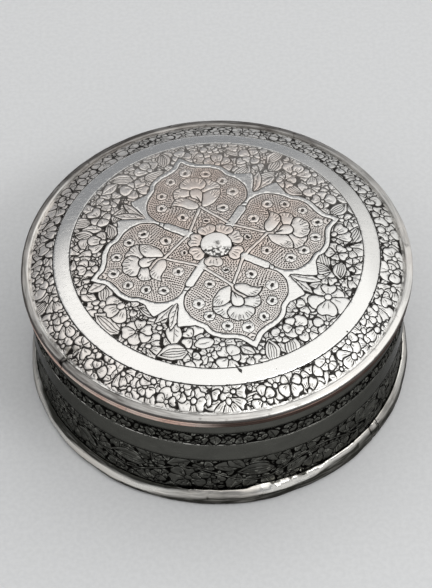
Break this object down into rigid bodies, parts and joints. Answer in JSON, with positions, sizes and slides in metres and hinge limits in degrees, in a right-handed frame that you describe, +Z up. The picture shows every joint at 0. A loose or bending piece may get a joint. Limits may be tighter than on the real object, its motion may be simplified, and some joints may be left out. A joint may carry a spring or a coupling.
{
  "type": "round lidded box",
  "caption": "Low round metal box with a domed lift-off lid, a rounded rim bead, plain and chased bands, an inner collar and a half-round foot.",
  "frame": {"origin": "middle of the foot's flat underside, on the table", "axes": "+Z up along the box's round axis, -Y towards the viewer, +X to the viewer's right"},
  "size_m": [0.0908, 0.0908, 0.0394],
  "materials": {
    "chased_silver": "chased silver, dark in the cuts, faintly pink where the plating is thin",
    "chased_silver_side": "chased silver, toned grey",
    "plain_silver": "plain silver, softly polished, fine scratches",
    "worn_copper": "copper showing through worn silver"
  },
  "bodies": {
    "box": {"body_wall": "chased_silver_side", "body_collar": "plain_silver", "base_plate": "plain_silver", "foot_ring": "plain_silver"},
    "lid": {"lid_top_plate": "chased_silver", "lid_rim_bead": "plain_silver", "lid_rim_wire": "worn_copper", "lid_skirt": "chased_silver_side"}
  },
  "joints": [
    {"name": "lid_lift", "type": "slide", "parent": "box", "child": "lid", "axis": [0, 0, 1], "range_m": [0, 0.045]}
  ]
}
